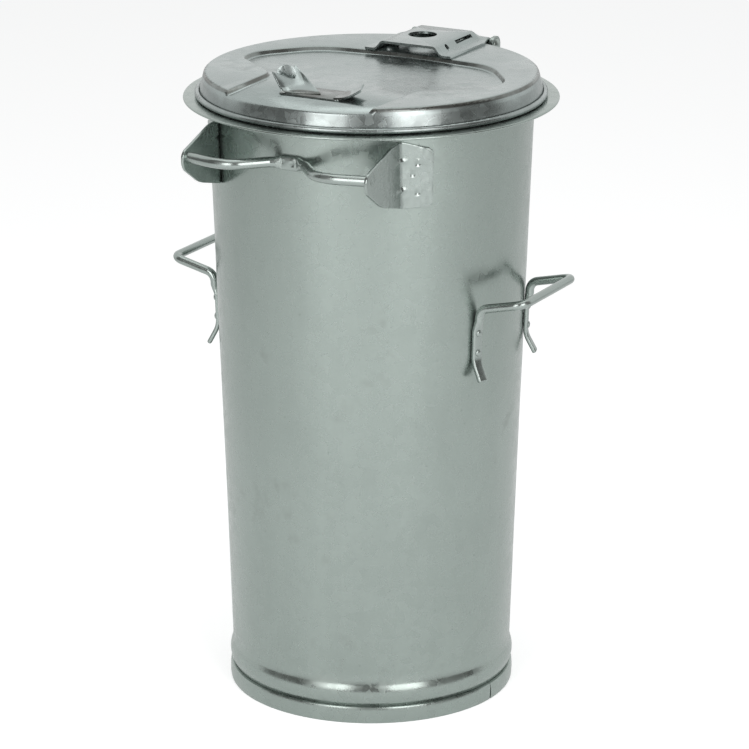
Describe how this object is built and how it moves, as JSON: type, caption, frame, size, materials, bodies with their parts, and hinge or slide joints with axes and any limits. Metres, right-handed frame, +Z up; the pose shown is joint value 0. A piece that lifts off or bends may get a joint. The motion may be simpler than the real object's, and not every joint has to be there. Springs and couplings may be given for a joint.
{
  "type": "galvanized trash can with lid",
  "caption": "Tall tapered galvanized steel trash can with a hinged round lid, a lifting grip on the lid, a bent front bar and a lifting handle on each side.",
  "frame": {"origin": "on the can's axis at floor level, the centre of the foot ring", "axes": "+Z up, -Y to the front where the bar is, the hinge at +Y, the lifting handles at -X and +X"},
  "size_m": [0.416, 0.4018, 0.6776],
  "materials": {
    "zinc_body": "hot-dip galvanized, softly glossy, grey-green",
    "zinc_lid": "hot-dip galvanized, brushed look, light blue-grey",
    "zinc_fittings": "hot-dip galvanized, a little darker and rougher"
  },
  "bodies": {
    "can": {"body_shell": "zinc_body", "floor_pan": "zinc_body", "base_hoop": "zinc_body", "rim_flange": "zinc_body", "front_bar": "zinc_fittings", "cheek_plate_left": "zinc_fittings", "cheek_plate_right": "zinc_fittings", "side_handle_left": "zinc_fittings", "side_handle_right": "zinc_fittings", "handle_rivets_left": "zinc_fittings", "handle_rivets_right": "zinc_fittings", "hinge_ear_left": "zinc_fittings", "hinge_ear_right": "zinc_fittings", "ear_rivets_left": "zinc_fittings", "ear_rivets_right": "zinc_fittings", "hinge_pin": "zinc_fittings", "hinge_washers": "zinc_fittings"},
    "lid": {"lid_pan": "zinc_lid", "lid_rim_wire": "zinc_lid", "lid_grip": "zinc_lid", "hinge_strap": "zinc_lid"}
  },
  "joints": [
    {"name": "lid_hinge", "type": "hinge", "parent": "can", "child": "lid", "pos_m": [0, 0.1845, 0.649], "axis": [-1, 0, 0], "range_deg": [0, 200]}
  ]
}
